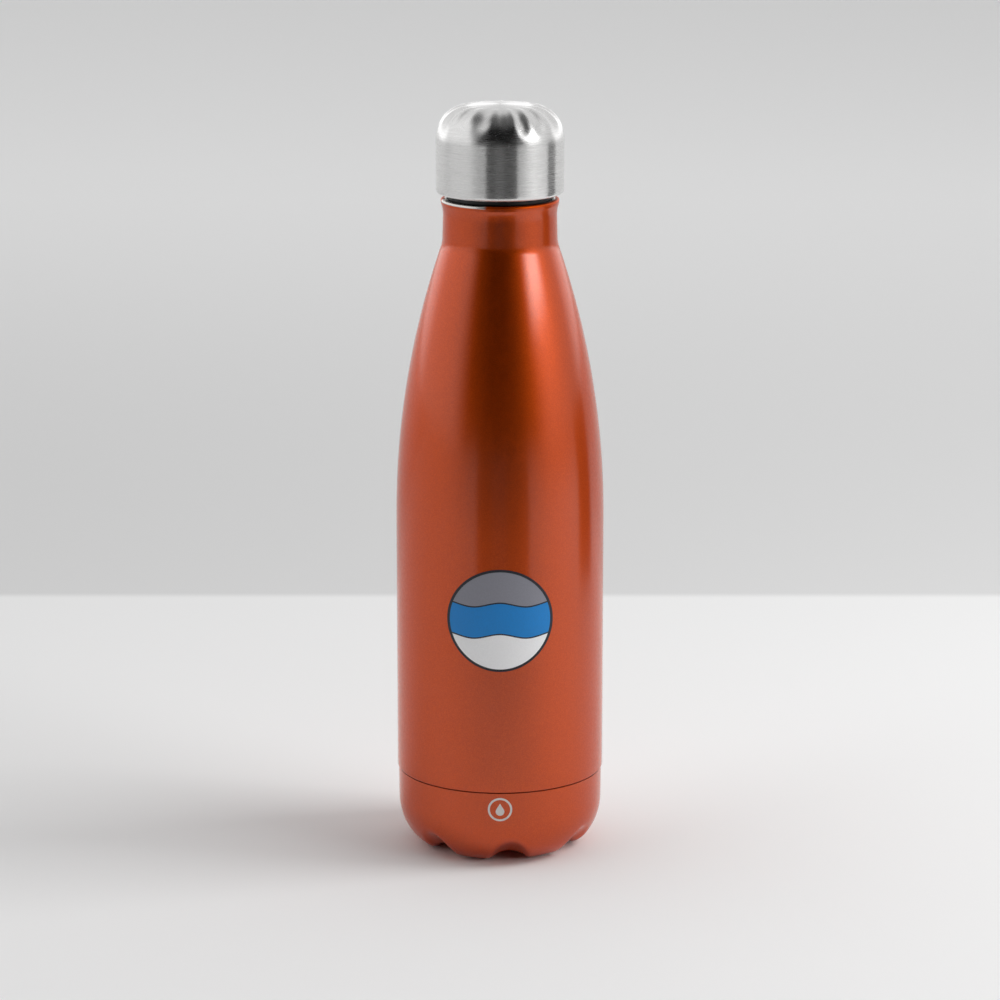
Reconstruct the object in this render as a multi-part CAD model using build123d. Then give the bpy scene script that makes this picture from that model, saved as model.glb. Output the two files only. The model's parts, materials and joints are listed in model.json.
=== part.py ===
from build123d import *
import math
import os

# Double-wall vacuum bottle, about 500 ml, with a two-start screw cap.
# Millimetres, +Z up. The origin is on the floor under the middle of the base.
# The printed front faces -Y. Each piece is written to its own STEP file in parts/.
# Profiles are drawn with x as the radius and y as the height, then turned about Z.

# ---- Driving dimensions -------------------------------------------------------------

TOTAL_HEIGHT = 260.5
BODY_RADIUS = 36.0

SHELL_WALL = 0.45
LINER_WALL = 0.4
CAP_WALL = 0.5
FOIL = 0.1
INK = 0.05
INK_GAP = 0.02

# Outer shell: a skirt inside the base cup, the barrel, the shoulder and the neck.
SKIRT_RADIUS = 34.6
SKIRT_BOTTOM = 14.5
SEAM_TOP = 27.65
SEAM_BOTTOM = 27.3
SHOULDER_START = 117.0
SHOULDER_ARC = 292.0
NECK_BASE_RADIUS = 19.77
NECK_BLEND = 11.0
WAIST_Z = 222.5
WAIST_RADIUS = 19.5
FLARE_Z = 226.7
MOUTH_RADIUS = 20.15

# Lip: the liner rolls outward over the top of the shell and is welded there.
LIP_BOTTOM = 227.5
LIP_TOP = 228.4
LIP_RADIUS = 20.2
LIP_INNER_ROUND = 1.2
LIP_OUTER_ROUND = 0.7

# Base cup: a pressed cup with seven feet, arches between them and a raised middle.
CUP_TOP_RADIUS = 35.65
CUP_WALL_RADIUS = 35.5
CUP_CORNER_Z = 16.5
FOOT_COUNT = 7
FOOT_OUTER = 23.3
FOOT_INNER = 18.8
MIDDLE_RADIUS = 16.4
MIDDLE_RISE = 3.6
ARCH_RISE = 3.2
ARCH_RADIUS = 9.8
ARCH_MOUTH = 26.0
ARCH_SLOPE = 37.6
ARCH_BEND = 14.0
FIRST_ARCH_ANGLE = -83.3
BOND_LOW = 19.0
BOND_HIGH = 25.0

# Outer bottom: the pan that closes the vacuum jacket, with its evacuation port.
PAN_FLOOR = 11.4
PAN_RIM_TOP = 20.5
PAN_CORNER = 3.2
PORT_RADIUS = 0.9
PORT_RECESS_RADIUS = 3.2
PORT_RECESS_DEPTH = 0.8
GETTER_X = 15.0
GETTER_TIN_RADIUS = 4.5
GETTER_TIN_HEIGHT = 2.2
GETTER_TIN_WALL = 0.3
GETTER_PILL_RADIUS = 4.1
GETTER_PILL_HEIGHT = 2.4

# Liner: the vessel that holds the drink.
LINER_RADIUS = 32.0
LINER_BOTTOM = 20.0
LINER_SHOULDER_START = 113.0
LINER_SHOULDER_ARC = 329.0
LINER_NECK_RADIUS = 17.9
LINER_NECK_BLEND = 8.0
DISH_FLOOR = 17.5
DISH_CROWN = 19.5
DISH_RIM_TOP = 21.8
DISH_FLAT_RADIUS = 24.0
DISH_CORNER = 4.0
WRAP_GAP = 0.05
WRAP_BOTTOM = 24.0
WRAP_TOP = 200.0
BASE_FOIL_RADIUS = 27.0
BASE_FOIL_Z = 17.25

# Thread: two starts, right-handed. The cap rises one lead for each turn.
THREAD_LEAD = 8.0
THREAD_STARTS = 2
RIB_ROOT_WIDTH = 1.6
RIB_TIP_WIDTH = 0.9
RIB_EMBED = 0.15
NECK_RIB_TIP = 16.65
NECK_RIB_Z = 213.0
NECK_RIB_TURNS = 1.0
PLUG_RIB_TIP = 17.1
PLUG_RIB_TURNS = 1.25
RIB_MESH_OFFSET = 1.6

# Cap: a steel dome over a plastic carrier and a hollow threaded plug.
CAP_RADIUS = 21.85
CAP_BOTTOM = 230.2
CAP_HEM_INNER = 19.7
CAP_HEM_ROUND = 1.5
CAP_CORNER = 11.6
CAP_CROWN_ARC = 120.0
CAP_FIT = 0.1
CARRIER_WALL = 1.4
FLANGE_BOTTOM = 230.8
FLANGE_TOP = 232.3
FLANGE_RADIUS = 21.1
COLLAR_BOTTOM = 230.4
COLLAR_RADIUS = 19.3
PLUG_RADIUS = 16.1
PLUG_BORE = 14.7
PLUG_BOTTOM = 204.5
PLUG_SEAT_RADIUS = 16.35
BEAD_RADIUS = 16.9
BEAD_LOW = 226.9
BEAD_HIGH = 228.2
PLUG_LID_THICKNESS = 1.0
PLUG_LID_SPIGOT = 2.0
PLUG_LID_FIT = 0.05
FOAM_GAP = 0.2
FOAM_TOP = 248.0
FOAM_HEAD_RADIUS = 19.3
SEAL_INNER = 16.45
SEAL_OUTER = 18.25
SEAL_LOW = 228.45
SEAL_HIGH = 230.35
SEAL_ROUND = 0.3

# Prints on the front: a plain round badge on the barrel and a small drop on the cup.
BADGE_Z = 89.0
BADGE_RADIUS = 18.0
BADGE_BORDER = 0.9
BADGE_LINE = 0.5
BADGE_WAVE_HEIGHT = 1.6
BADGE_SKY_EDGE = 5.5
BADGE_SHORE_EDGE = -5.5
MARK_Z = 21.6
MARK_RADIUS = 4.2
MARK_LINE = 0.7
DROP_RADIUS = 1.5
DROP_POINT = 2.9


# ---- Helpers ------------------------------------------------------------------------

def turned(face):
    """Turn a profile once about the Z axis."""
    return revolve(Plane.XZ * face, Axis.Z, 360)


def outline(*points, radii=0):
    """Closed profile through the points, rounded at each corner by its radius."""
    return make_face(FilletPolyline(*points, radius=radii, close=True))


def wall(curve, thickness):
    """Profile of a sheet: the curve, and its parallel on the left of its direction."""
    return Face(curve.offset_2d(thickness, side=Side.LEFT, closed=True))


def rounded(curve, corner, radius):
    """Round the corner of a curve that lies nearest to a point."""
    nearest = curve.vertices().sort_by_distance(corner)[0]
    return curve.fillet_2d(radius, [nearest])


def shoulder(radius, start_z, arc, end_radius):
    """Arc that leaves a straight wall at start_z and closes in to end_radius."""
    sweep_angle = math.degrees(math.acos((end_radius - radius + arc) / arc))
    return CenterArc((radius - arc, start_z), arc, 0, sweep_angle)


def around(count, piece):
    """Copies of a piece spread evenly about the Z axis."""
    return [Rot(0, 0, 360 * i / count) * piece for i in range(count)]


# ---- Outer shell and base -----------------------------------------------------------

def make_outer_shell():
    """Painted steel shell with a joggled skirt, barrel, shoulder and flared neck."""
    side = Polyline(
        (SKIRT_RADIUS, SKIRT_BOTTOM),
        (SKIRT_RADIUS, SEAM_TOP),
        (BODY_RADIUS, SEAM_TOP),
        (BODY_RADIUS, SHOULDER_START),
    )
    slope = shoulder(BODY_RADIUS, SHOULDER_START, SHOULDER_ARC, NECK_BASE_RADIUS)
    neck = Line(slope @ 1, (WAIST_RADIUS, WAIST_Z))
    flare = TangentArc(neck @ 1, (MOUTH_RADIUS, FLARE_Z), tangent=neck % 1)
    mouth = Line(flare @ 1, (MOUTH_RADIUS, LIP_BOTTOM))
    curve = Wire([*side.edges(), slope, neck, flare, mouth])
    curve = rounded(curve, (BODY_RADIUS, SEAM_TOP), 0.4)
    curve = rounded(curve, (SKIRT_RADIUS, SEAM_TOP), 0.3)
    curve = rounded(curve, slope @ 1, NECK_BLEND)
    curve = rounded(curve, flare @ 1, 1.5)
    return turned(wall(curve, SHELL_WALL))


def cup_profile(inset):
    """Solid profile of the base cup, drawn in from its outer face by an inset."""
    corner = EllipticalCenterArc(
        (FOOT_OUTER, CUP_CORNER_Z),
        CUP_WALL_RADIUS - FOOT_OUTER - inset,
        CUP_CORNER_Z - inset,
        start_angle=270,
        arc_size=90,
    )
    floor = Polyline(
        (0, MIDDLE_RISE + inset),
        (MIDDLE_RADIUS + inset / 2, MIDDLE_RISE + inset),
        (FOOT_INNER + inset / 2, inset),
        corner @ 0,
    )
    side = Polyline(
        corner @ 1,
        (CUP_TOP_RADIUS - inset, SEAM_BOTTOM),
        (0, SEAM_BOTTOM),
        (0, MIDDLE_RISE + inset),
    )
    return make_face([*floor.edges(), corner, *side.edges()])


def arch_cutters(inset):
    """Round bars that run out under the cup and press the arches between its feet."""
    axis_z = ARCH_RISE - ARCH_RADIUS
    bend_x = ARCH_MOUTH + ARCH_RADIUS * math.tan(math.radians(ARCH_SLOPE / 2))
    reach = 20.0
    far_x = bend_x + reach * math.cos(math.radians(ARCH_SLOPE))
    far_z = axis_z + reach * math.sin(math.radians(ARCH_SLOPE))
    start_x = MIDDLE_RADIUS / 2
    path = FilletPolyline(
        (start_x, 0, axis_z),
        (bend_x, 0, axis_z),
        (far_x, 0, far_z),
        radius=ARCH_BEND,
    )
    section = Plane(origin=path @ 0, z_dir=path % 0) * Circle(ARCH_RADIUS + inset)
    bar = sweep(section, path=path)
    return [Rot(0, 0, FIRST_ARCH_ANGLE) * cutter for cutter in around(FOOT_COUNT, bar)]


def make_base_cup():
    """Painted cup over the bottom of the shell, pressed from one sheet."""
    outside = turned(cup_profile(0)) - arch_cutters(0)
    inside = turned(cup_profile(SHELL_WALL)) - arch_cutters(SHELL_WALL)
    mouth = Pos(0, 0, SEAM_BOTTOM) * Cylinder(CUP_TOP_RADIUS - SHELL_WALL, 1)
    return outside - inside - mouth


def cup_radius(z):
    """Outer radius of the base cup's slightly tapered wall."""
    taper = (CUP_TOP_RADIUS - CUP_WALL_RADIUS) / (SEAM_BOTTOM - CUP_CORNER_Z)
    return CUP_WALL_RADIUS + taper * (z - CUP_CORNER_Z)


def make_base_bond_ring():
    """Ring of adhesive that holds the base cup on the skirt."""
    return turned(outline(
        (SKIRT_RADIUS, BOND_LOW),
        (cup_radius(BOND_LOW) - SHELL_WALL, BOND_LOW),
        (cup_radius(BOND_HIGH) - SHELL_WALL, BOND_HIGH),
        (SKIRT_RADIUS, BOND_HIGH),
    ))


def make_outer_bottom():
    """Steel pan welded inside the skirt, with a recessed evacuation port."""
    pan_radius = SKIRT_RADIUS - SHELL_WALL
    recess_z = PAN_FLOOR + PORT_RECESS_DEPTH
    curve = FilletPolyline(
        (PORT_RADIUS, recess_z),
        (PORT_RECESS_RADIUS, recess_z),
        (PORT_RECESS_RADIUS + PORT_RECESS_DEPTH, PAN_FLOOR),
        (pan_radius, PAN_FLOOR),
        (pan_radius, PAN_RIM_TOP),
        radius=[0, 0, PAN_CORNER],
    )
    return turned(wall(Wire(curve.edges()), SHELL_WALL))


def make_vacuum_seal_bead():
    """Bead of solder glass that plugs the evacuation port from below."""
    bead_top = PAN_FLOOR + PORT_RECESS_DEPTH
    bead_bottom = PAN_FLOOR + 0.1
    bead_radius = PORT_RECESS_RADIUS - 0.8
    stem_radius = PORT_RADIUS - 0.05
    return turned(outline(
        (0, bead_bottom),
        (bead_radius, bead_bottom),
        (bead_radius, bead_top - 0.05),
        (stem_radius, bead_top - 0.05),
        (stem_radius, bead_top + SHELL_WALL),
        (0, bead_top + SHELL_WALL),
        radii=[0, 0.3, 0, 0, 0, 0],
    ))


def disc(radius, height):
    """Round disc that stands on the XY plane."""
    return Cylinder(radius, height, align=(Align.CENTER, Align.CENTER, Align.MIN))


def make_getter_clip():
    """Small open tin, welded to the pan inside the vacuum, that holds the getter."""
    tin = disc(GETTER_TIN_RADIUS, GETTER_TIN_HEIGHT)
    hollow = disc(GETTER_TIN_RADIUS - GETTER_TIN_WALL, GETTER_TIN_HEIGHT)
    tin -= Pos(0, 0, GETTER_TIN_WALL) * hollow
    return Pos(GETTER_X, 0, PAN_FLOOR + SHELL_WALL) * tin


def make_getter_pill():
    """Pressed pill that soaks up the last gas in the vacuum jacket."""
    pill = disc(GETTER_PILL_RADIUS, GETTER_PILL_HEIGHT)
    pill = chamfer(pill.edges(), 0.3)
    return Pos(GETTER_X, 0, PAN_FLOOR + SHELL_WALL + GETTER_TIN_WALL) * pill


# ---- Liner and what surrounds it ----------------------------------------------------

def thread_rib(root_radius, embed_radius, tip_radius, turns):
    """One helical rib of trapezoid section, starting at height 0 on the +X side."""
    section = Plane.XZ * make_face(Polyline(
        (embed_radius, -RIB_ROOT_WIDTH / 2),
        (root_radius, -RIB_ROOT_WIDTH / 2),
        (tip_radius, -RIB_TIP_WIDTH / 2),
        (tip_radius, RIB_TIP_WIDTH / 2),
        (root_radius, RIB_ROOT_WIDTH / 2),
        (embed_radius, RIB_ROOT_WIDTH / 2),
        close=True,
    ))
    path = Helix(THREAD_LEAD, THREAD_LEAD * turns, root_radius)
    return sweep(section, path=path, is_frenet=True)


def make_liner():
    """Inner vessel: a tube with a shoulder, a threaded neck and the rolled lip."""
    side = Line((LINER_RADIUS, LINER_BOTTOM), (LINER_RADIUS, LINER_SHOULDER_START))
    slope = shoulder(LINER_RADIUS, LINER_SHOULDER_START, LINER_SHOULDER_ARC, LINER_NECK_RADIUS)
    neck = Line(slope @ 1, (LINER_NECK_RADIUS, LIP_BOTTOM))
    curve = rounded(Wire([side, slope, neck]), slope @ 1, LINER_NECK_BLEND)
    vessel = turned(wall(curve, LINER_WALL))
    bore = LINER_NECK_RADIUS - LINER_WALL
    lip = turned(outline(
        (bore, LIP_BOTTOM - 0.5),
        (LINER_NECK_RADIUS, LIP_BOTTOM - 0.5),
        (LINER_NECK_RADIUS, LIP_BOTTOM),
        (LIP_RADIUS, LIP_BOTTOM),
        (LIP_RADIUS, LIP_TOP),
        (bore, LIP_TOP),
        radii=[0, 0, 0, 0, LIP_OUTER_ROUND, LIP_INNER_ROUND],
    ))
    rib = thread_rib(bore, bore + RIB_EMBED, NECK_RIB_TIP, NECK_RIB_TURNS)
    return vessel + lip + around(THREAD_STARTS, Pos(0, 0, NECK_RIB_Z) * rib)


def make_liner_bottom():
    """Dished disc welded into the bottom of the liner, crowned in the middle."""
    rim_radius = LINER_RADIUS - LINER_WALL
    rise = DISH_CROWN - DISH_FLOOR
    arc = (DISH_FLAT_RADIUS ** 2 + rise ** 2) / (2 * rise)
    crown_angle = math.degrees(math.asin(DISH_FLAT_RADIUS / arc))
    crown = CenterArc((0, DISH_CROWN - arc), arc, 90, -crown_angle)
    rim = FilletPolyline(
        (DISH_FLAT_RADIUS, DISH_FLOOR),
        (rim_radius, DISH_FLOOR),
        (rim_radius, DISH_RIM_TOP),
        radius=DISH_CORNER,
    )
    return turned(wall(Wire([crown, *rim.edges()]), LINER_WALL))


def make_copper_wrap():
    """Copper foil round the liner that reflects radiant heat."""
    radius = LINER_RADIUS + WRAP_GAP + FOIL
    arc = LINER_SHOULDER_ARC + WRAP_GAP + FOIL
    rise = WRAP_TOP - LINER_SHOULDER_START
    end_radius = radius - arc + math.sqrt(arc ** 2 - rise ** 2)
    side = Line((radius, WRAP_BOTTOM), (radius, LINER_SHOULDER_START))
    slope = shoulder(radius, LINER_SHOULDER_START, arc, end_radius)
    return turned(wall(Wire([side, slope]), FOIL))


def make_copper_base_foil():
    """Disc of the same foil under the liner's bottom."""
    return Pos(0, 0, BASE_FOIL_Z) * disc(BASE_FOIL_RADIUS, FOIL)


# ---- Cap ----------------------------------------------------------------------------

def dome_curve(inset, bottom_z):
    """Outer side of the cap from a height up and over to the axis, less an inset."""
    radius = CAP_RADIUS - inset
    top = TOTAL_HEIGHT - inset
    crown_arc = CAP_CROWN_ARC - inset
    edge_z = top - crown_arc + math.sqrt(crown_arc ** 2 - radius ** 2)
    crown_angle = math.degrees(math.asin(radius / crown_arc))
    side = Line((radius, bottom_z), (radius, edge_z))
    crown = CenterArc((0, top - crown_arc), crown_arc, 90 - crown_angle, crown_angle)
    return side, crown, (radius, edge_z)


def make_cap_shell():
    """Brushed steel dome, hemmed inward at its lower edge."""
    hem = Line((CAP_HEM_INNER, CAP_BOTTOM), (CAP_RADIUS, CAP_BOTTOM))
    side, crown, edge = dome_curve(0, CAP_BOTTOM)
    curve = Wire([hem, side, crown])
    curve = rounded(curve, (CAP_RADIUS, CAP_BOTTOM), CAP_HEM_ROUND)
    curve = rounded(curve, edge, CAP_CORNER)
    return turned(wall(curve, CAP_WALL))


def make_cap_carrier():
    """Plastic dome that stiffens the steel and rests on the plug's flange."""
    inset = CAP_WALL + CAP_FIT
    side, crown, edge = dome_curve(inset, FLANGE_TOP)
    curve = rounded(Wire([side, crown]), edge, CAP_CORNER - inset)
    return turned(wall(curve, CARRIER_WALL))


def make_plug_body():
    """Hollow threaded stopper with the flange that the steel dome is hemmed over."""
    body = turned(outline(
        (PLUG_BORE, PLUG_BOTTOM),
        (PLUG_RADIUS, PLUG_BOTTOM),
        (PLUG_RADIUS, BEAD_LOW - 0.6),
        (BEAD_RADIUS, BEAD_LOW),
        (BEAD_RADIUS, BEAD_HIGH),
        (PLUG_SEAT_RADIUS, BEAD_HIGH),
        (PLUG_SEAT_RADIUS, COLLAR_BOTTOM),
        (COLLAR_RADIUS, COLLAR_BOTTOM),
        (COLLAR_RADIUS, FLANGE_BOTTOM),
        (FLANGE_RADIUS, FLANGE_BOTTOM),
        (FLANGE_RADIUS, FLANGE_TOP),
        (PLUG_BORE, FLANGE_TOP),
        radii=[0, 0, 0, 0.3, 0.3, 0, 0, 0.2, 0, 0.9, 0.2, 0],
    ))
    rib = thread_rib(PLUG_RADIUS, PLUG_RADIUS - RIB_EMBED, PLUG_RIB_TIP, PLUG_RIB_TURNS)
    return body + around(THREAD_STARTS, Pos(0, 0, NECK_RIB_Z - RIB_MESH_OFFSET) * rib)


def make_plug_lid():
    """Disc welded into the bottom of the plug to keep the drink out of the foam."""
    low = PLUG_BOTTOM - PLUG_LID_THICKNESS
    return turned(outline(
        (0, low),
        (PLUG_RADIUS, low),
        (PLUG_RADIUS, PLUG_BOTTOM),
        (PLUG_BORE - PLUG_LID_FIT, PLUG_BOTTOM),
        (PLUG_BORE - PLUG_LID_FIT, PLUG_BOTTOM + PLUG_LID_SPIGOT),
        (0, PLUG_BOTTOM + PLUG_LID_SPIGOT),
        radii=[0, 0.6, 0, 0, 0.3, 0],
    ))


def make_plug_foam():
    """Insulating foam that fills the plug and the lower part of the cap."""
    stem_radius = PLUG_BORE - FOAM_GAP
    low = PLUG_BOTTOM + PLUG_LID_SPIGOT + 0.1
    shelf = FLANGE_TOP + 0.1
    return turned(outline(
        (0, low),
        (stem_radius, low),
        (stem_radius, shelf),
        (FOAM_HEAD_RADIUS, shelf),
        (FOAM_HEAD_RADIUS, FOAM_TOP),
        (0, FOAM_TOP),
        radii=[0, 0.5, 0, 0, 2.0, 0],
    ))


def make_seal_ring():
    """Silicone ring on the plug that is pressed down on the lip."""
    return turned(outline(
        (SEAL_INNER, SEAL_LOW),
        (SEAL_OUTER, SEAL_LOW),
        (SEAL_OUTER, SEAL_HIGH),
        (SEAL_INNER, SEAL_HIGH),
        radii=SEAL_ROUND,
    ))


# ---- Prints -------------------------------------------------------------------------

def film(sketch, low_radius, high_radius, low_z, high_z, layer):
    """Thin film of ink: a front-facing drawing laid on a slightly tapered wall."""
    inner = layer * (INK + INK_GAP) + INK_GAP
    skin = turned(outline(
        (low_radius + inner, low_z),
        (low_radius + inner + INK, low_z),
        (high_radius + inner + INK, high_z),
        (high_radius + inner, high_z),
    ))
    stamp = extrude(Plane.XZ * sketch, amount=BODY_RADIUS * 1.5)
    return skin & stamp


def barrel_film(sketch, layer):
    """Film on the barrel, drawn about the middle of the badge."""
    low_z = BADGE_Z - BADGE_RADIUS - 1
    high_z = BADGE_Z + BADGE_RADIUS + 1
    return film(Pos(0, BADGE_Z) * sketch, BODY_RADIUS, BODY_RADIUS, low_z, high_z, layer)


def wave(height):
    """Gently waving line across the badge at a height above its middle."""
    step = BADGE_RADIUS / 2
    crests = [(step * i, height + BADGE_WAVE_HEIGHT * (-1) ** i / 2) for i in range(-3, 4)]
    return Spline(*crests)


def badge_zone(low_edge, high_edge):
    """Part of the badge's disc between two waving lines."""
    field = Circle(BADGE_RADIUS - BADGE_BORDER)
    low = wave(low_edge)
    high = wave(high_edge)
    band = make_face([low, high, Line(low @ 0, high @ 0), Line(low @ 1, high @ 1)])
    return field & band


def make_print_backing():
    """Dark round film under the badge's colours."""
    return barrel_film(Circle(BADGE_RADIUS), 0)


def make_print_sky():
    """Grey film in the upper part of the badge."""
    return barrel_film(badge_zone(BADGE_SKY_EDGE + BADGE_LINE / 2, 2 * BADGE_RADIUS), 1)


def make_print_water():
    """Blue film across the middle of the badge."""
    low_edge = BADGE_SHORE_EDGE + BADGE_LINE / 2
    high_edge = BADGE_SKY_EDGE - BADGE_LINE / 2
    return barrel_film(badge_zone(low_edge, high_edge), 1)


def make_print_shore():
    """White film in the lower part of the badge."""
    return barrel_film(badge_zone(-2 * BADGE_RADIUS, BADGE_SHORE_EDGE - BADGE_LINE / 2), 1)


def make_print_drop():
    """Pale ring with a water drop in it, printed on the base cup."""
    ring = Circle(MARK_RADIUS) - Circle(MARK_RADIUS - MARK_LINE)
    touch_angle = math.acos(DROP_RADIUS / DROP_POINT)
    touch = (DROP_RADIUS * math.sin(touch_angle), DROP_RADIUS * math.cos(touch_angle))
    tip = make_face(Polyline((0, DROP_POINT), touch, (0, 0), (-touch[0], touch[1]), close=True))
    drop = Pos(0, -DROP_POINT / 4) * (Circle(DROP_RADIUS) + tip)
    low_z = MARK_Z - MARK_RADIUS - 0.5
    high_z = MARK_Z + MARK_RADIUS + 0.5
    sketch = Pos(0, MARK_Z) * (ring + drop)
    return film(sketch, cup_radius(low_z), cup_radius(high_z), low_z, high_z, 0)


# ---- Files --------------------------------------------------------------------------

PIECES = {
    "outer_shell": make_outer_shell,
    "base_cup": make_base_cup,
    "base_bond_ring": make_base_bond_ring,
    "outer_bottom": make_outer_bottom,
    "vacuum_seal_bead": make_vacuum_seal_bead,
    "getter_clip": make_getter_clip,
    "getter_pill": make_getter_pill,
    "liner": make_liner,
    "liner_bottom": make_liner_bottom,
    "copper_wrap": make_copper_wrap,
    "copper_base_foil": make_copper_base_foil,
    "cap_shell": make_cap_shell,
    "cap_carrier": make_cap_carrier,
    "plug_body": make_plug_body,
    "plug_lid": make_plug_lid,
    "plug_foam": make_plug_foam,
    "seal_ring": make_seal_ring,
    "print_backing": make_print_backing,
    "print_sky": make_print_sky,
    "print_water": make_print_water,
    "print_shore": make_print_shore,
    "print_drop": make_print_drop,
}

os.makedirs("parts", exist_ok=True)
for name, make_piece in PIECES.items():
    export_step(make_piece(), f"parts/{name}.step")
    print("wrote", name)
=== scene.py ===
import json
import math

import bpy
import numpy as np
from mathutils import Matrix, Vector


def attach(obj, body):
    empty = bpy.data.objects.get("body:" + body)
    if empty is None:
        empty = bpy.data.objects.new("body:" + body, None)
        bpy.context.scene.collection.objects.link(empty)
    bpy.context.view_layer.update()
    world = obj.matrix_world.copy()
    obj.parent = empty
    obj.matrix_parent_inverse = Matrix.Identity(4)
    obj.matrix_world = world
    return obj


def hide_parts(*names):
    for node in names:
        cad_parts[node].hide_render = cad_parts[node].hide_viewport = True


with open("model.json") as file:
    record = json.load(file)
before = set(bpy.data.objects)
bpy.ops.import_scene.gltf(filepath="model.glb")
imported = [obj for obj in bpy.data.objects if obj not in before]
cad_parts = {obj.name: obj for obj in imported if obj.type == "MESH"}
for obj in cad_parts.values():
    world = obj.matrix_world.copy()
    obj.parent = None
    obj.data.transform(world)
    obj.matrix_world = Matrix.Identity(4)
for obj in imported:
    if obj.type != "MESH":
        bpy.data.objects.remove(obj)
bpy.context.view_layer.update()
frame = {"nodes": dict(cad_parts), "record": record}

# Looks for a double-wall vacuum bottle with a screw cap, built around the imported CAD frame.
# Profiles are in millimetres, as (radius, height) about the bottle's axis.
MM = 0.001

# ---- Dimensions, the same as in the CAD -------------------------------------------------

SHELL_WALL = 0.45
LINER_WALL = 0.4
CAP_WALL = 0.5

BODY_RADIUS = 36.0
SKIRT = (34.6, 14.5)
SEAM_TOP = 27.65
SEAM_BOTTOM = 27.3
SHOULDER_START = 117.0
SHOULDER_ARC = 292.0
NECK_BASE_RADIUS = 19.77
NECK_BLEND = 11.0
WAIST = (19.5, 222.5)
FLARE = (20.15, 226.7)

LIP_BOTTOM = 227.5
LIP_TOP = 228.4
LIP_RADIUS = 20.2
BORE_RADIUS = 17.5

CUP_TOP_RADIUS = 35.65
CUP_WALL_RADIUS = 35.5
CUP_CORNER_Z = 16.5
FOOT_OUTER = 23.3
FOOT_INNER = 18.8
MIDDLE_RADIUS = 16.4
MIDDLE_RISE = 3.6
FOOT_COUNT = 7
FIRST_ARCH_ANGLE = -83.3
ARCH_RISE = 3.2
ARCH_RADIUS = 9.8
ARCH_MOUTH = 26.0
ARCH_SLOPE = 37.6
ARCH_BEND = 14.0

LINER_RADIUS = 32.0
LINER_BOTTOM = 20.0
LINER_SHOULDER_START = 113.0
LINER_SHOULDER_ARC = 329.0
LINER_NECK_RADIUS = 17.9
LINER_NECK_BLEND = 8.0

CAP_RADIUS = 21.85
CAP_BOTTOM = 230.2
CAP_TOP = 260.5
CAP_CORNER = 11.6
CAP_CROWN_ARC = 120.0
CAP_HEM_INNER = 19.7
CAP_HEM_ROUND = 1.5

THREAD_LEAD = 8.0
THREAD_STARTS = 2
RIB_ROOT_HALF = 0.8
RIB_TIP_HALF = 0.45
NECK_RIB_Z = 213.0
NECK_RIB_TIP = 16.65
NECK_RIB_TURNS = 1.0
PLUG_RIB_Z = 211.4
PLUG_RIB_TIP = 17.1
PLUG_RIB_TURNS = 1.25
PLUG_RADIUS = 16.1

PLUG_BORE = 14.7
PLUG_BOTTOM = 204.5
PLUG_SEAT_RADIUS = 16.35
BEAD = (16.9, 226.9, 228.2)
COLLAR = (19.3, 230.4)
FLANGE = (21.1, 230.8, 232.3)
BEAD_RAMP = 0.6

SEAL_INNER = 16.45
SEAL_OUTER = 18.25
SEAL_LOW = 228.45
SEAL_HIGH = 230.35
SEAL_ROUND = 0.3

# ---- Mesh detail, the meshes' own -------------------------------------------------------

# Points round each ring, and the longest step along a plain wall and along a thread.
AROUND = 256
PLAIN_STEP = 3.0
THREAD_STEP = 0.16

# Radii of the rounded corners, in the order that each profile meets them.
STEP_OUTER_ROUNDS = (0.3, 0.4)
STEP_INNER_ROUNDS = (0.75, 0.08)
MOUTH_ROUND = 1.0
HEEL_ROUNDS = (1.0, 1.4)
LIP_ROUNDS = (0.1, 0.7, 1.2)
HEAD_ROUNDS = (0.3, 0.3, 0, 0, 0.2, 0, 0.6, 0.2)

# How softly the arches run into the cup, and a height on the cap's straight side, where
# the points of its lower part meet those of its dome.
ARCH_SOFTNESS = 0.9
CAP_SIDE_MIDDLE = 236.2

# Over what part of a turn a rib runs out, and how far the plug's fine rows reach below and
# above the start of its ribs.
RIB_RUNOUT = 0.035
THREAD_BELOW = 2
THREAD_ABOVE = 13

# Flutes round the cap's corner: their count, depth and outward share, and the angles up
# the corner, in degrees, between which they rise to full depth and then fade.
FLUTES = 17
FLUTE_DEPTH = 0.22
FLUTE_OUTWARD = 0.6
FLUTE_RISE = (5, 45)
FLUTE_FADE = (72, 94)

# ---- Finish -----------------------------------------------------------------------------

# Paint sprayed over the lip, in metres: the radius and heights at which it starts, and how
# ragged its edge is. The lip stays bare steel between two azimuths, in degrees, at the front
# left, so that it is pale on the side where it catches the light: partly a painted highlight.
# The same raggedness shifts their edges by so many degrees for each metre.
OVERSPRAY_COLOR = (0.60, 0.074, 0.004)
OVERSPRAY_RADIUS = 0.0188
OVERSPRAY_HEIGHTS = (0.2270, 0.2274)
OVERSPRAY_RAGGED = 0.0005
BARE_LIP_HIGHLIGHT = (-80, -14)
RAGGED_DEGREES = 20000


# ---- Profiles ---------------------------------------------------------------------------

def arc(centre, radius, start, end, steps, height=None):
    """Points on an arc, or on an ellipse's if a height radius is given; angles in degrees."""
    tall = radius if height is None else height
    angles = [math.radians(start + (end - start) * i / steps) for i in range(steps + 1)]
    return [(centre[0] + radius * math.cos(a), centre[1] + tall * math.sin(a)) for a in angles]


def line(start, end, steps):
    """Evenly spaced points from start to end."""
    return [tuple(s + (e - s) * i / steps for s, e in zip(start, end)) for i in range(steps + 1)]


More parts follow.
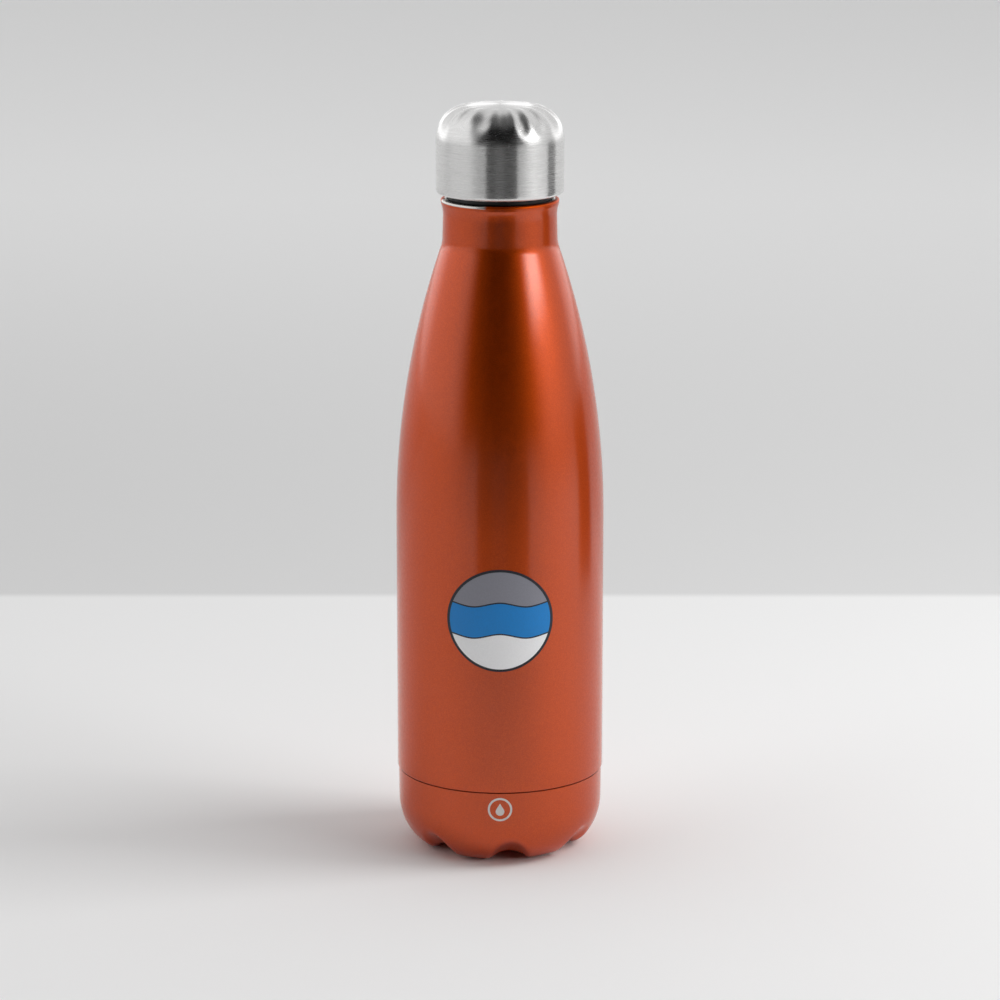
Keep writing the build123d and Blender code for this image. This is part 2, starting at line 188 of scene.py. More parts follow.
def corner(before, at, after, radius, steps=6):
    """Points that round the corner at a point by a radius."""
    a, p, b = (np.array(v, float) for v in (before, at, after))
    into = (a - p) / np.linalg.norm(a - p)
    out = (b - p) / np.linalg.norm(b - p)
    half = math.acos(max(-1.0, min(1.0, float(into @ out)))) / 2
    reach = radius / math.tan(half)
    middle = (into + out) / np.linalg.norm(into + out)
    centre = p + middle * radius / math.sin(half)
    first = p + into * reach - centre
    last = p + out * reach - centre
    turn = math.atan2(first[0] * last[1] - first[1] * last[0], float(first @ last))
    points = []
    for i in range(steps + 1):
        a = turn * i / steps
        points.append((
            centre[0] + first[0] * math.cos(a) - first[1] * math.sin(a),
            centre[1] + first[0] * math.sin(a) + first[1] * math.cos(a),
        ))
    return points


def rounded(points, radii, steps=6):
    """Open line through points with each inner corner rounded by its radius."""
    made = [points[0]]
    for before, at, after, radius in zip(points, points[1:], points[2:], radii):
        made += corner(before, at, after, radius, steps) if radius else [at]
    return made + [points[-1]]


def densified(points, longest):
    """The same line with no step longer than a length."""
    made = [points[0]]
    for start, end in zip(points, points[1:]):
        steps = max(1, math.ceil(math.dist(start, end) / longest))
        made += line(start, end, steps)[1:]
    return made


def shoulder(radius, start_z, bow, end_radius, steps):
    """Arc from a straight wall at start_z that closes in to end_radius."""
    angle = math.degrees(math.acos((end_radius - radius + bow) / bow))
    return arc((radius - bow, start_z), bow, 0, angle, steps)


def shell_profile(inset):
    """One face of the shell's sheet, from the skirt up to the mouth."""
    skirt = SKIRT[0] - inset
    barrel = BODY_RADIUS - inset
    step_z = SEAM_TOP + inset
    joggle = rounded(
        [(skirt, SKIRT[1]), (skirt, step_z), (barrel, step_z), (barrel, SHOULDER_START)],
        STEP_INNER_ROUNDS if inset else STEP_OUTER_ROUNDS,
    )
    slope = shoulder(barrel, SHOULDER_START, SHOULDER_ARC - inset, NECK_BASE_RADIUS - inset, 40)
    waist = (WAIST[0] - inset, WAIST[1])
    bend = corner(slope[-2], slope[-1], waist, NECK_BLEND + inset, 8)
    flare = (FLARE[0] - inset, FLARE[1])
    mouth = (FLARE[0] - inset, LIP_BOTTOM)
    lean = math.atan2(waist[0] - bend[-1][0], waist[1] - bend[-1][1])
    rise = np.array(flare) - np.array(waist)
    normal = np.array([math.cos(lean), -math.sin(lean)])
    flare_arc = float(rise @ rise) / (2 * float(rise @ normal))
    centre = np.array(waist) + normal * flare_arc
    turn = 2 * math.degrees(math.asin(float(np.linalg.norm(rise)) / (2 * flare_arc)))
    first = math.degrees(math.atan2(*(np.array(waist) - centre)[::-1]))
    bell = arc(centre, flare_arc, first, first - turn, 10)
    top = [flare] if inset else corner(bell[-3], bell[-1], mouth, MOUTH_ROUND, 4)
    neck = bend + line(bend[-1], waist, 5)[1:] + bell[1:-1] + top + [mouth]
    return densified(joggle + slope[1:-1] + neck, 4.0)


def dome_profile(inset):
    """One face of the cap's sheet, from above the hem over to the axis."""
    ball = CAP_CORNER - inset
    crown = CAP_CROWN_ARC - inset
    ball_x = CAP_RADIUS - CAP_CORNER
    crown_z = CAP_TOP - CAP_CROWN_ARC
    rise = math.sqrt((CAP_CROWN_ARC - CAP_CORNER) ** 2 - ball_x ** 2)
    meet = math.degrees(math.atan2(rise, ball_x))
    side = arc((ball_x, crown_z + rise), ball, 0, meet, 28)
    top = arc((0, crown_z), crown, meet, 90, 12)
    return side + top[1:]


# ---- Meshes -----------------------------------------------------------------------------

def mesh_object(name, points, faces, sharp_angle=35):
    """Mesh object from points in millimetres, smooth except at sharp corners."""
    mesh = bpy.data.meshes.new(name)
    mesh.from_pydata((np.asarray(points, float) * MM).tolist(), [], faces)
    mesh.validate()
    mesh.polygons.foreach_set("use_smooth", [True] * len(mesh.polygons))
    mesh.set_sharp_from_angle(angle=math.radians(sharp_angle))
    mesh.update()
    made = bpy.data.objects.new(name, mesh)
    bpy.context.scene.collection.objects.link(made)
    return made


def turned(name, profile, shape=None, closed=True, count=AROUND, sharp_angle=35):
    """Turns a profile about Z. shape(points, angles) may move the turned points before use."""
    ring = np.array(profile, float)
    on_axis = [i for i in range(len(ring)) if abs(ring[i, 0]) < 1e-9]
    angles = np.arange(count) * 2 * math.pi / count
    grid = np.empty((len(ring), count, 3))
    grid[..., 0] = ring[:, None, 0] * np.cos(angles)
    grid[..., 1] = ring[:, None, 0] * np.sin(angles)
    grid[..., 2] = ring[:, None, 1]
    if shape:
        grid = shape(grid, angles)
    points = []
    index = np.zeros((len(ring), count), int)
    for i in range(len(ring)):
        if i in on_axis:
            index[i] = len(points)
            points.append(grid[i, 0])
        else:
            index[i] = np.arange(len(points), len(points) + count)
            points.extend(grid[i])
    faces = []
    rows = range(len(ring) if closed else len(ring) - 1)
    for i in rows:
        j = (i + 1) % len(ring)
        if i in on_axis and j in on_axis:
            continue
        for k in range(count):
            n = (k + 1) % count
            quad = [index[i, k], index[i, n], index[j, n], index[j, k]]
            face = [int(v) for m, v in enumerate(quad) if v not in quad[:m]]
            faces.append(face)
    return mesh_object(name, points, faces, sharp_angle)


def smooth_step(low, high, value):
    """0 below low, 1 above high, and a smooth rise between them."""
    t = np.clip((value - low) / (high - low), 0, 1)
    return t * t * (3 - 2 * t)


def soft_max(a, b, softness):
    """The larger of two values, blended where they are close."""
    near = np.maximum(softness - np.abs(a - b), 0) / softness
    return np.maximum(a, b) + near * near * softness / 4


def press_arches(inset):
    """Pushes the turned base cup up over the round bars that press its arches."""
    bar = ARCH_RADIUS + inset
    axis_z = ARCH_RISE - ARCH_RADIUS
    slope = math.radians(ARCH_SLOPE)
    bend_z = axis_z + ARCH_BEND
    bend_start = ARCH_MOUTH + (ARCH_RADIUS - ARCH_BEND) * math.tan(slope / 2)

    def shape(grid, angles):
        pitch = 2 * math.pi / FOOT_COUNT
        first = math.radians(FIRST_ARCH_ANGLE)
        off = (angles - first + pitch / 2) % pitch - pitch / 2
        radius = np.hypot(grid[..., 0], grid[..., 1])
        x = radius * np.cos(off)
        t = radius * np.sin(off)
        z = grid[..., 2]
        turn = np.clip(np.arctan2(x - bend_start, bend_z - z), 0, slope)
        up_x = -np.sin(turn)
        up_z = np.cos(turn)
        foot_x = np.where(turn > 0, bend_start + ARCH_BEND * np.sin(turn), x)
        foot_z = np.where(turn > 0, bend_z - ARCH_BEND * np.cos(turn), axis_z)
        height = (x - foot_x) * up_x + (z - foot_z) * up_z
        along = (x - foot_x) * np.cos(turn) + (z - foot_z) * np.sin(turn)
        behind = np.where(turn > 0, np.hypot(x - foot_x, z - foot_z), height)
        height = np.where(along > 0, height, behind)
        over = np.sqrt(np.maximum(bar ** 2 - t ** 2, 0)) - 3 * np.maximum(np.abs(t) - bar, 0)
        lift = soft_max(0, over - height, ARCH_SOFTNESS)
        x = x + lift * up_x
        z = z + lift * up_z
        centre = angles - off
        made = grid.copy()
        made[..., 0] = x * np.cos(centre) - t * np.sin(centre)
        made[..., 1] = x * np.sin(centre) + t * np.cos(centre)
        made[..., 2] = z
        return made

    return shape


def cup_profile(inset):
    """One face of the base cup's sheet, from its rim down and in to the axis."""
    foot = (FOOT_OUTER, CUP_CORNER_Z)
    wall = line((CUP_TOP_RADIUS - inset, SEAM_BOTTOM), (CUP_WALL_RADIUS - inset, CUP_CORNER_Z), 6)
    curve = arc(foot, CUP_WALL_RADIUS - FOOT_OUTER - inset, 0, -90, 48, CUP_CORNER_Z - inset)
    heel = rounded(
        [
            curve[-1],
            (FOOT_INNER + inset / 2, inset),
            (MIDDLE_RADIUS + inset / 2, MIDDLE_RISE + inset),
            (0, MIDDLE_RISE + inset),
        ],
        HEEL_ROUNDS,
    )
    return wall + curve[1:] + densified(heel, 0.9)[1:]


def thread(root, tip, first_z, turns):
    """Raises the two-start thread out of the rows that lie on a wall of radius root."""
    def shape(grid, angles):
        radius = np.hypot(grid[..., 0], grid[..., 1])
        z = grid[..., 2]
        rib = np.zeros_like(z)
        for start in range(THREAD_STARTS):
            turn = (angles / (2 * math.pi) - start / THREAD_STARTS) % 1
            for lap in range(math.ceil(turns)):
                done = turn + lap
                off = np.abs(z - first_z - THREAD_LEAD * done)
                face = 1 - smooth_step(RIB_TIP_HALF, RIB_ROOT_HALF, off)
                ends = smooth_step(0, RIB_RUNOUT, done) * smooth_step(0, RIB_RUNOUT, turns - done)
                rib = np.maximum(rib, face * np.where(done <= turns, ends, 0))
        on_wall = np.abs(radius - root) < 1e-3
        scale = np.where(on_wall, 1 + rib * (tip - root) / root, 1)
        made = grid.copy()
        made[..., 0] *= scale
        made[..., 1] *= scale
        return made

    return shape


# ---- Pieces -----------------------------------------------------------------------------

def make_shell():
    """Painted shell, from its skirt to the mouth."""
    outer = shell_profile(0)
    inner = shell_profile(SHELL_WALL)
    return turned("shell_skin", outer + inner[::-1])


def make_base_cup():
    """Two pressed faces joined at the rim."""
    count = FOOT_COUNT * 48
    outer, inner = (
        turned("cup_face", cup_profile(inset), press_arches(inset), closed=False, count=count)
        for inset in (0, SHELL_WALL)
    )
    points = [tuple(v.co / MM) for o in (outer, inner) for v in o.data.vertices]
    shift = len(outer.data.vertices)
    faces = [list(p.vertices) for p in outer.data.polygons]
    faces += [[v + shift for v in reversed(p.vertices)] for p in inner.data.polygons]
    faces += [[(k + 1) % count, k, k + shift, (k + 1) % count + shift] for k in range(count)]
    for o in (outer, inner):
        bpy.data.objects.remove(o)
    return mesh_object("base_cup_skin", points, faces, sharp_angle=50)


def press_flutes(grid, angles):
    """Presses shallow, slightly uneven flutes into the rounded corner of the cap's sheet."""
    ball_x = CAP_RADIUS - CAP_CORNER
    ball_z = CAP_TOP - CAP_CROWN_ARC + math.sqrt((CAP_CROWN_ARC - CAP_CORNER) ** 2 - ball_x ** 2)
    out = np.hypot(grid[..., 0], grid[..., 1]) - ball_x
    up = grid[..., 2] - ball_z
    lean = np.degrees(np.arctan2(up, out))
    share = smooth_step(*FLUTE_RISE, lean) * (1 - smooth_step(*FLUTE_FADE, lean))
    uneven = 0.7 * np.sin(2 * angles + 1.3) + 0.5 * np.sin(5 * angles)
    push = share * FLUTE_DEPTH * (np.sin(FLUTES * angles + uneven) + FLUTE_OUTWARD)
    outward = push * np.cos(np.radians(lean))
    made = grid.copy()
    made[..., 0] += outward * np.cos(angles)
    made[..., 1] += outward * np.sin(angles)
    made[..., 2] += push * np.sin(np.radians(lean))
    return made


def make_cap_shell():
    """Steel dome with its rolled-in hem and the flutes round its corner."""
    outer = rounded(
        [(CAP_HEM_INNER, CAP_BOTTOM), (CAP_RADIUS, CAP_BOTTOM), (CAP_RADIUS, CAP_SIDE_MIDDLE)],
        [CAP_HEM_ROUND],
        10,
    )
    inner = rounded(
        [
            (CAP_HEM_INNER, CAP_BOTTOM + CAP_WALL),
            (CAP_RADIUS - CAP_WALL, CAP_BOTTOM + CAP_WALL),
            (CAP_RADIUS - CAP_WALL, CAP_SIDE_MIDDLE),
        ],
        [CAP_HEM_ROUND - CAP_WALL],
        10,
    )
    outer = densified(outer + dome_profile(0), 2.0)
    inner = densified(inner + dome_profile(CAP_WALL), 2.0)
    return turned("cap_skin", outer + inner[::-1], press_flutes)


def make_liner():
    """Inner vessel with the neck's thread and the rolled lip."""
    outer = line((LINER_RADIUS, LINER_BOTTOM), (LINER_RADIUS, LINER_SHOULDER_START), 30)
    outer += liner_neck(0)[1:]
    lip = rounded(
        [
            (LINER_NECK_RADIUS, LIP_BOTTOM),
            (LIP_RADIUS, LIP_BOTTOM),
            (LIP_RADIUS, LIP_TOP),
            (BORE_RADIUS, LIP_TOP),
            (BORE_RADIUS, LIP_BOTTOM - 1.0),
        ],
        LIP_ROUNDS,
        8,
    )
    inner_radius = LINER_RADIUS - LINER_WALL
    inner = line((inner_radius, LINER_BOTTOM), (inner_radius, LINER_SHOULDER_START), 30)
    inner += liner_neck(LINER_WALL)[1:]
    profile = outer[:-1] + lip + inner[::-1]
    ribs = thread(BORE_RADIUS, NECK_RIB_TIP, NECK_RIB_Z, NECK_RIB_TURNS)
    return turned("liner_skin", profile, ribs)


def liner_neck(inset):
    """One face of the liner's sheet, from the start of its shoulder to the lip."""
    slope = shoulder(
        LINER_RADIUS - inset,
        LINER_SHOULDER_START,
        LINER_SHOULDER_ARC - inset,
        LINER_NECK_RADIUS - inset,
        40,
    )
    top = (LINER_NECK_RADIUS - inset, LIP_BOTTOM - 1.0)
    bend = corner(slope[-2], slope[-1], top, LINER_NECK_BLEND + inset, 6)
    neck = densified([bend[-1], top], THREAD_STEP if inset else PLAIN_STEP)
    return slope[:-1] + bend + neck[1:]


def make_seal():
    """Silicone ring, with a start point on its flat so that all four corners are rounded."""
    start = (17.3, SEAL_LOW)
    ring = rounded(
        [
            start,
            (SEAL_OUTER, SEAL_LOW),
            (SEAL_OUTER, SEAL_HIGH),
            (SEAL_INNER, SEAL_HIGH),
            (SEAL_INNER, SEAL_LOW),
            start,
        ],
        [SEAL_ROUND] * 4,
        5,
    )
    return turned("seal_skin", densified(ring, 0.5)[:-1])


def make_plug():
    """Hollow threaded stopper with the flange that carries the cap."""
    bead_radius, bead_low, bead_high = BEAD
    flange_radius, flange_low, flange_high = FLANGE
    collar_radius, collar_low = COLLAR
    foot = [(PLUG_BORE, PLUG_BOTTOM), (PLUG_RADIUS, PLUG_BOTTOM)]
    threaded = line(
        (PLUG_RADIUS, PLUG_RIB_Z - THREAD_BELOW),
        (PLUG_RADIUS, PLUG_RIB_Z + THREAD_ABOVE),
        94,
    )
    head = rounded(
        [
            (PLUG_RADIUS, bead_low - BEAD_RAMP),
            (bead_radius, bead_low),
            (bead_radius, bead_high),
            (PLUG_SEAT_RADIUS, bead_high),
            (PLUG_SEAT_RADIUS, collar_low),
            (collar_radius, collar_low),
            (collar_radius, flange_low),
            (flange_radius, flange_low),
            (flange_radius, flange_high),
            (PLUG_BORE, flange_high),
        ],
        HEAD_ROUNDS,
    )
    profile = densified(foot + threaded + head, PLAIN_STEP)
    ribs = thread(PLUG_RADIUS, PLUG_RIB_TIP, PLUG_RIB_Z, PLUG_RIB_TURNS)
    return turned("plug_skin", profile, ribs)


# ---- Materials --------------------------------------------------------------------------

class Nodes:
    """Short calls for building a node tree."""

    def __init__(self, tree, coordinates):
        self.tree = tree
        self.place = self.node("ShaderNodeTexCoord").outputs[coordinates]

    def node(self, kind, **settings):
        made = self.tree.nodes.new(kind)
        for key, value in settings.items():
            setattr(made, key, value)
        return made

    def set(self, node, socket, value):
        """Gives a socket a plain value or links it to another node's output."""
        if isinstance(value, bpy.types.NodeSocket):
            self.tree.links.new(value, node.inputs[socket])
        else:
            node.inputs[socket].default_value = value

    def math(self, operation, *values):
        node = self.node("ShaderNodeMath", operation=operation)
        for socket, value in enumerate(values):
            self.set(node, socket, value)
        return node.outputs[0]

    def ramp(self, value, low, high, to_low=0.0, to_high=1.0):
        node = self.node("ShaderNodeMapRange", interpolation_type="SMOOTHSTEP")
        self.set(node, "Value", value)
        self.set(node, "From Min", low)
        self.set(node, "From Max", high)
        self.set(node, "To Min", to_low)
        self.set(node, "To Max", to_high)
        return node.outputs[0]

    def noise(self, scale, detail, place=None):
        node = self.node("ShaderNodeTexNoise")
        self.set(node, "Vector", place or self.place)
        self.set(node, "Scale", scale)
        self.set(node, "Detail", detail)
        self.set(node, "Roughness", 0.55)
        return node.outputs["Fac"]

    def mix(self, share, a, b):
        node = self.node("ShaderNodeMix", data_type="RGBA")
        self.set(node, 0, share)
        for socket, value in ((6, a), (7, b)):
            self.set(node, socket, (*value, 1) if isinstance(value, tuple) else value)
        return node.outputs[2]

    def polar(self):
        """Angle about the axis in turns, distance from it and height, both in metres."""
        split = self.node("ShaderNodeSeparateXYZ")
        self.set(split, "Vector", self.place)
        x, y, z = split.outputs
        angle = self.math("ARCTAN2", y, x)
        flat = self.node("ShaderNodeCombineXYZ")
        self.set(flat, "X", x)
        self.set(flat, "Y", y)
        length = self.node("ShaderNodeVectorMath", operation="LENGTH")
        self.set(length, 0, flat.outputs[0])
        return self.math("DIVIDE", angle, 2 * math.pi), length.outputs["Value"], z

    def around(self, along, across):
        """Coordinates stretched round the axis, so that noise in them draws fine rings."""
        turn, radius, height = self.polar()
        angle = self.math("MULTIPLY", turn, 2 * math.pi)
        place = self.node("ShaderNodeCombineXYZ")
        self.set(place, "X", self.math("MULTIPLY", self.math("SINE", angle), along))
        self.set(place, "Y", self.math("MULTIPLY", self.math("COSINE", angle), along))
        reach = self.math("ADD", radius, height)
        self.set(place, "Z", self.math("MULTIPLY", reach, across))
        return place.outputs[0]

    def bump(self, height, distance, strength=1.0, under=None):
        node = self.node("ShaderNodeBump")
        self.set(node, "Height", height)
        self.set(node, "Distance", distance)
        self.set(node, "Strength", strength)
        if under is not None:
            self.set(node, "Normal", under)
        return node.outputs[0]

    def window(self, value, low, high, soft):
        """1 between low and high, falling to 0 over a soft edge centred on each."""
        rise = self.ramp(value, low - soft / 2, low + soft / 2)
        fall = self.ramp(value, high - soft / 2, high + soft / 2, 1.0, 0.0)
        return self.math("MULTIPLY", rise, fall)

    def bearing(self):
        """Azimuth in degrees from the front, + to the bottle's right, and height."""
        turn, radius, height = self.polar()
        share = self.math("FRACT", self.math("ADD", turn, 1.75))
        return self.math("MULTIPLY_ADD", share, 360, -180), radius, height


class Paint(Nodes):
    """A node-built material around one Principled shader."""

    def __init__(self, name, color, metallic=0.0, roughness=0.5, **sockets):
        self.material = bpy.data.materials.new(name)
        self.material.use_nodes = True
        super().__init__(self.material.node_tree, "Object")
        self.shader = self.tree.nodes["Principled BSDF"]
        self.set(self.shader, "Base Color", (*color, 1))
        self.set(self.shader, "Metallic", metallic)
        self.set(self.shader, "Roughness", roughness)
        for socket, value in sockets.items():
            self.set(self.shader, socket.replace("_", " "), value)

    def finish(self, normal=None, color=None, roughness=None):
        if normal is not None:
            self.set(self.shader, "Normal", normal)
        if color is not None:
            self.set(self.shader, "Base Color", color)
        if roughness is not None:
            self.set(self.shader, "Roughness", roughness)
        return self.material


def copper_paint():
    """Satin metallic lacquer: a coppery flake coat under clear varnish."""
    p = Paint(
        "copper_paint_look",
        (0.57, 0.07, 0.004),
        1.0,
        0.46,
        Coat_Weight=1.0,
        Coat_Roughness=0.16,
        Coat_IOR=1.48,
        Specular_Tint=(1.0, 0.5, 0.3, 1.0),
    )
    flake = p.noise(2600, 2)
    cloud = p.noise(22, 3)
    color = p.mix(p.ramp(flake, 0.35, 0.7), (0.53, 0.062, 0.003), (0.62, 0.079, 0.005))
    color = p.mix(p.math("MULTIPLY", cloud, 0.12), color, (0.46, 0.051, 0.003))
    peel = p.bump(p.noise(420, 2), 0.00002, 0.5)
    grain = p.bump(flake, 0.000012, 0.6, under=peel)
    p.set(p.shader, "Coat Normal", peel)
    return p.finish(normal=grain, color=color, roughness=p.ramp(p.noise(900, 2), 0.3, 0.7, 0.42, 0.5))


def brushed_steel():
    """Bare steel brushed round the cap's axis."""
    p = Paint(
        "brushed_steel_look",
        (0.75, 0.745, 0.74),
        1.0,
        0.27,
        Anisotropic=0.8,
        Anisotropic_Rotation=0.25,
    )
    p.set(p.shader, "Tangent", p.node("ShaderNodeTangent", direction_type="RADIAL", axis="Z").outputs[0])
    lines = p.noise(1.0, 2, p.around(3.0, 9000))
    bands = p.noise(1.0, 3, p.around(2.0, 2600))
    color = p.mix(p.ramp(bands, 0.3, 0.7), (0.72, 0.715, 0.71), (0.78, 0.775, 0.77))
    return p.finish(
        normal=p.bump(lines, 0.000004, 0.5),
        color=color,
        roughness=p.ramp(lines, 0.25, 0.75, 0.22, 0.3),
    )


def bare_steel(name="bare_steel", masked=False):
    """Plain drawn and polished steel. Masked adds the paint that was sprayed over the lip, and leaves
    the lip bare only at the front left, partly a painted highlight where it catches the light.
    """
    p = Paint(name + "_look", (0.70, 0.68, 0.65), 1.0, 0.3)
    lines = p.noise(1.0, 3, p.around(2.0, 5000))
    color = p.mix(lines, (0.66, 0.64, 0.61), (0.74, 0.72, 0.69))
    roughness = p.ramp(p.noise(160, 3), 0.3, 0.7, 0.22, 0.32)
    if masked:
        azimuth, radius, height = p.bearing()
        ragged = p.math("MULTIPLY_ADD", p.noise(900, 3), OVERSPRAY_RAGGED, -OVERSPRAY_RAGGED / 2)
        sprayed = p.ramp(p.math("ADD", radius, ragged), OVERSPRAY_RADIUS, OVERSPRAY_RADIUS + 0.0001)
        sprayed = p.math("MULTIPLY", sprayed, p.ramp(height, *OVERSPRAY_HEIGHTS))
        # Bare steel only at the front left keeps the lip pale where it catches the light: partly a
        # painted highlight.
        bare = p.window(p.math("MULTIPLY_ADD", ragged, RAGGED_DEGREES, azimuth), *BARE_LIP_HIGHLIGHT, 4)
        sprayed = p.math("MULTIPLY", sprayed, p.math("SUBTRACT", 1.0, bare))
        color = p.mix(sprayed, color, OVERSPRAY_COLOR)
        roughness = p.math("MULTIPLY_ADD", sprayed, 0.16, roughness)
    return p.finish(normal=p.bump(lines, 0.000006, 0.4), color=color, roughness=roughness)


def plain(name, color, metallic, low, high, scale, depth, tint=0.8, **sockets):
    """Moulded, cast, foamed or printed stuff: a grain in its colour, gloss and surface."""
    p = Paint(name + "_look", color, metallic, (low + high) / 2, **sockets)
    grain = p.noise(scale, 4)
    darker = tuple(c * tint for c in color)
    return p.finish(
        normal=p.bump(grain, depth, 0.6),
        color=p.mix(p.ramp(grain, 0.3, 0.7), darker, color),
        roughness=p.ramp(grain, 0.3, 0.7, low, high),
    )


# ---- Studio -----------------------------------------------------------------------------

# The camera's place in metres, how far it looks down in degrees, and its lens in mm.
CAMERA_PLACE = (0, -1.2754, 0.4330)
CAMERA_DOWN = 13.68
CAMERA_LENS = 136.26


def make_camera():
    """Camera at the photograph's viewing angle."""
    camera = bpy.data.objects.new("camera", bpy.data.cameras.new("camera"))
    bpy.context.scene.collection.objects.link(camera)
    camera.location = CAMERA_PLACE
    camera.rotation_euler = (math.radians(90 - CAMERA_DOWN), 0, 0)
    camera.data.sensor_width = 36
    camera.data.lens = CAMERA_LENS
    bpy.context.scene.camera = camera


make_camera()

shell = make_shell()
cup = make_base_cup()
cap = make_cap_shell()
liner = make_liner()
seal = make_seal()
plug = make_plug()

looks = {
    "copper_paint": copper_paint(),
    "brushed_steel": brushed_steel(),
    "bare_steel": bare_steel(),
    "copper_foil": plain("copper_foil", (0.86, 0.42, 0.27), 1.0, 0.18, 0.3, 300, 0.0001),
    "adhesive": plain("adhesive", (0.55, 0.52, 0.45), 0.0, 0.3, 0.5, 500, 0.00005),
    "solder_glass": plain("solder_glass", (0.10, 0.09, 0.07), 0.0, 0.1, 0.2, 900, 0.00003),
    "getter_metal": plain("getter_metal", (0.12, 0.12, 0.13), 0.6, 0.6, 0.8, 2500, 0.00003),
    "dark_ink": plain("dark_ink", (0.012, 0.013, 0.02), 0.0, 0.4, 0.5, 1800, 0.00001),
    "grey_ink": plain("grey_ink", (0.25, 0.25, 0.29), 0.0, 0.4, 0.5, 1800, 0.00001, 0.93),
    "blue_ink": plain("blue_ink", (0.0, 0.22, 0.62), 0.0, 0.4, 0.5, 1800, 0.00001, 0.93),
    "white_ink": plain("white_ink", (0.93, 0.93, 0.94), 0.0, 0.4, 0.5, 1800, 0.00001, 0.96),
    "pale_ink": plain("pale_ink", (0.72, 0.68, 0.65), 0.0, 0.4, 0.5, 1800, 0.00001, 0.93),
    "black_plastic": plain("black_plastic", (0.014, 0.014, 0.015), 0.0, 0.38, 0.5, 1200, 0.00002),
    "foam": plain("foam", (0.78, 0.74, 0.60), 0.0, 0.8, 0.95, 900, 0.0002),
    "black_silicone": plain("black_silicone", (0.012, 0.012, 0.012), 0.0, 0.45, 0.6, 700, 0.00002),
}

slots = {s["node"]: s["material_slot"] for s in frame["record"]["subparts"]}
for name, node in frame["nodes"].items():
    node.data.materials.clear()
    node.data.materials.append(looks[slots[name]])

for piece, name, body in (
    (shell, "outer_shell", "bottle"),
    (cup, "base_cup", "bottle"),
    (liner, "liner", "bottle"),
    (cap, "cap_shell", "cap"),
    (seal, "seal_ring", "seal"),
    (plug, "plug_body", "cap"),
):
    piece.data.materials.append(looks[slots[name]])
    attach(piece, body)
    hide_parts(name)
# The lip's steel takes the paint's colour, except at the front left, where its pale bare steel is partly
# a painted highlight.
liner.data.materials[0] = bare_steel("lip_steel", masked=True)


def glow(name, level):
    """Material that shines evenly with a white light."""
    material = bpy.data.materials.new(name)
    material.use_nodes = True
    tree = material.node_tree
    tree.nodes.remove(tree.nodes["Principled BSDF"])
    shader = tree.nodes.new("ShaderNodeEmission")
    shader.inputs["Color"].default_value = (1, 1, 1, 1)
    shader.inputs["Strength"].default_value = level
    tree.links.new(shader.outputs[0], tree.nodes["Material Output"].inputs["Surface"])
    return material


# The studio as the bottle sees it, in degrees: azimuth from and to (0 is the front, + to the
# right) and the width of its soft edge, elevation from and to and its soft edge, and level.
# A span that runs past 180 degrees has no edge there.
STUDIO = {
    "left": (-135, -49, 24, -90, 62, 30, 0.97),
    "right": (52, 120, 26, -90, 62, 30, 0.75),
    "behind_left": (-240, -135, 24, -90, 62, 30, 0.8),
    "behind_right": (120, 240, 26, -90, 62, 30, 0.8),
    "low_behind_left": (-240, -115, 20, -90, 10, 12, 0.7),
    "low_behind_right": (115, 240, 20, -90, 10, 12, 0.8),
    "overhead": (-240, 240, 1, 62, 120, 30, 0.12),
    "bright_window": (49, 77, 18, 16, 26, 8, 8.2),
}
SEEN_BEHIND = 0.7

# The floor, a hair below the feet. Its heights and half width are in mm, and the places
# of the table's edge and of the wall's slow change in tone are in metres behind the bottle.
FLOOR_Z = -0.02
FLOOR_HALF = 6000
TABLE = (0.87, 0.87, 0.87)
TABLE_EDGE = (0.322, 0.332)
WALL_SPAN = (0.4, 1.6)
# The wall's tones are painted light and shade: darker just beyond the table's edge, lighter further
# back.
WALL_SHADED_NEAR = (0.71, 0.71, 0.71)
WALL_LIT_FAR = (0.96, 0.96, 0.96)

# Cards that lie on the table and that only reflections see: azimuth and half the width in
# degrees, distance to the near edge in metres, level, and height above the table in mm.
# The cards stand for the dark room in front and paint its dark reflection onto the bottle's front and,
# in a narrow band, onto its right side, the cap included.
CARDS = {
    "dark_room": (3, 28, 0.37, 0.09, 0.5),
    "dark_room_middle": (-1, 8, 0.37, 0.16, 0.6),
    "dark_flag": (106, 11, 0.40, 0.08, 0.5),
}
CARD_REACH = 6.0


def sum_of(nodes, terms):
    """Output that adds up several node outputs."""
    total = 0.0
    for term in terms:
        total = nodes.math("ADD", term, total)
    return total


def make_cards():
    """Dim glowing cards on the table, seen by reflections only: a painted dark reflection down the
    bottle's front and in a narrow band on its right.
    """
    for name, (azimuth, half, near, level, height) in CARDS.items():
        corners = []
        for side, reach in ((-half, near), (half, near), (half, CARD_REACH), (-half, CARD_REACH)):
            a = math.radians(azimuth + side)
            corners.append((reach / MM * math.sin(a), -reach / MM * math.cos(a), height))
        card = mesh_object(name, corners, [[3, 2, 1, 0]])
        card.data.materials.append(glow(name + "_glow", level))
        card.visible_camera = False
        card.visible_diffuse = False
        card.visible_shadow = False


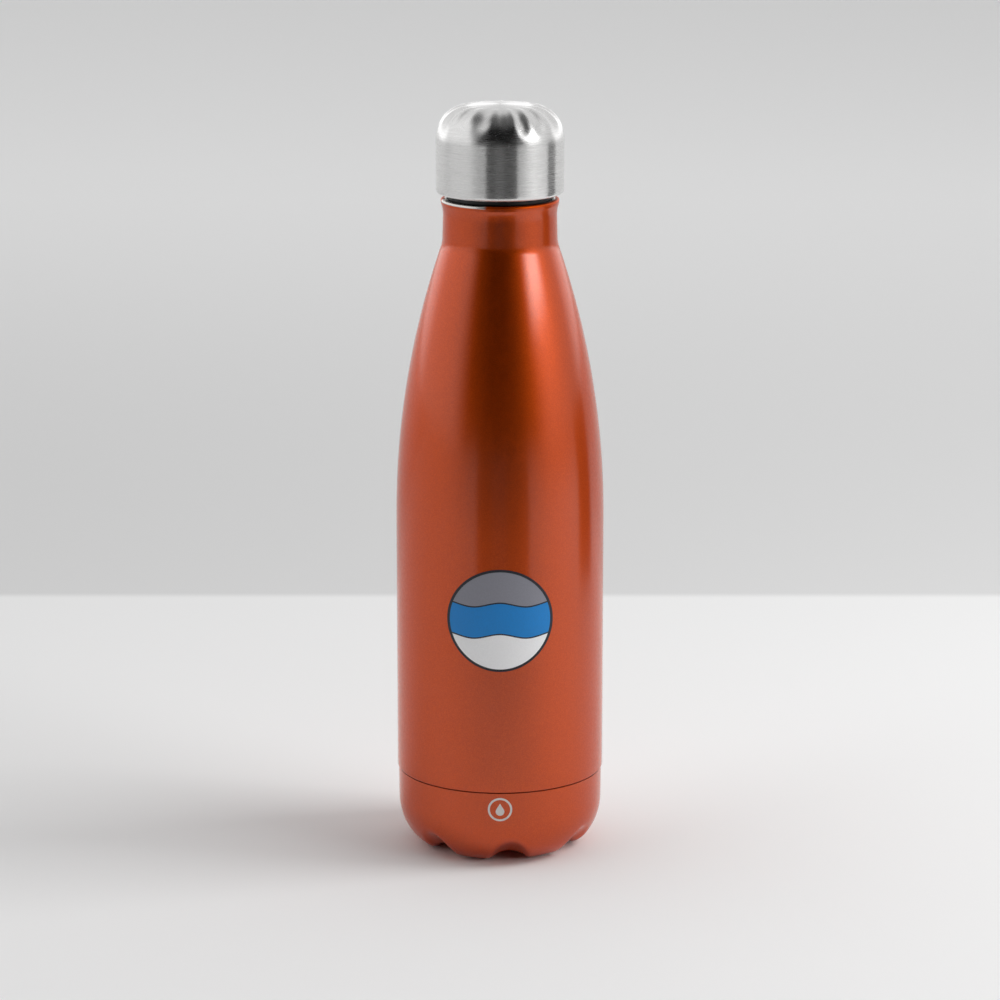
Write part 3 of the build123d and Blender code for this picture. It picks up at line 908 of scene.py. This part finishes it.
def make_floor():
    """Pale table with a greyer stretch beyond its edge, which stands for the wall, in painted light and
    shade: darker near the table's edge, lighter further back.
    """
    p = Paint("floor_paper", TABLE, 0.0, 0.9, Specular_IOR_Level=0.0)
    split = p.node("ShaderNodeSeparateXYZ")
    p.set(split, "Vector", p.place)
    behind = split.outputs["Y"]
    wall = p.mix(p.ramp(behind, *WALL_SPAN), WALL_SHADED_NEAR, WALL_LIT_FAR)
    color = p.mix(p.ramp(behind, *TABLE_EDGE), TABLE, wall)
    corners = ((-1, -1), (1, -1), (1, 1), (-1, 1))
    floor = mesh_object(
        "floor",
        [(x * FLOOR_HALF, y * FLOOR_HALF, FLOOR_Z) for x, y in corners],
        [[0, 1, 2, 3]],
    )
    floor.data.materials.append(p.finish(color=color))


# Soft lights that reflections don't see: place and size in metres, and power. They all aim
# at one point low on the bottle.
LAMPS = {
    "side_light": ((0.9, 0.0, 0.85), 0.5, 6.0),
    "ceiling": ((0.2, 0.4, 2.2), 3.0, 8.0),
}
LAMP_AIM = (0, 0, 0.1)


def make_lamps():
    """Area lights that give the table its light and the bottle its soft shadow."""
    for name, (place, size, power) in LAMPS.items():
        lamp = bpy.data.lights.new(name, "AREA")
        lamp.size = size
        lamp.energy = power
        light = bpy.data.objects.new(name, lamp)
        light.location = place
        aim = Vector(place) - Vector(LAMP_AIM)
        light.rotation_euler = aim.to_track_quat("Z", "Y").to_euler()
        light.visible_glossy = False
        bpy.context.scene.collection.objects.link(light)


def make_world():
    """Sky that lights the bottle as the studio does, and is even where the camera sees it."""
    world = bpy.data.worlds.new("studio")
    world.use_nodes = True
    n = Nodes(world.node_tree, "Generated")
    azimuth, _, height = n.bearing()
    elevation = n.math("MULTIPLY", n.math("ARCSINE", height), 180 / math.pi)
    terms = []
    for start, end, soft, bottom, top, fade, level in STUDIO.values():
        across = n.window(azimuth, start, end, soft)
        upright = n.window(elevation, bottom, top, fade)
        terms.append(n.math("MULTIPLY", n.math("MULTIPLY", across, upright), level))
    seen = n.node("ShaderNodeLightPath").outputs["Is Camera Ray"]
    color = n.mix(seen, sum_of(n, terms), (SEEN_BEHIND, SEEN_BEHIND, SEEN_BEHIND))
    n.set(n.tree.nodes["Background"], "Color", color)
    n.set(n.tree.nodes["Background"], "Strength", 1.0)
    bpy.context.scene.world = world


make_floor()
make_cards()
make_world()
make_lamps()

bpy.context.scene.view_settings.view_transform = "Standard"
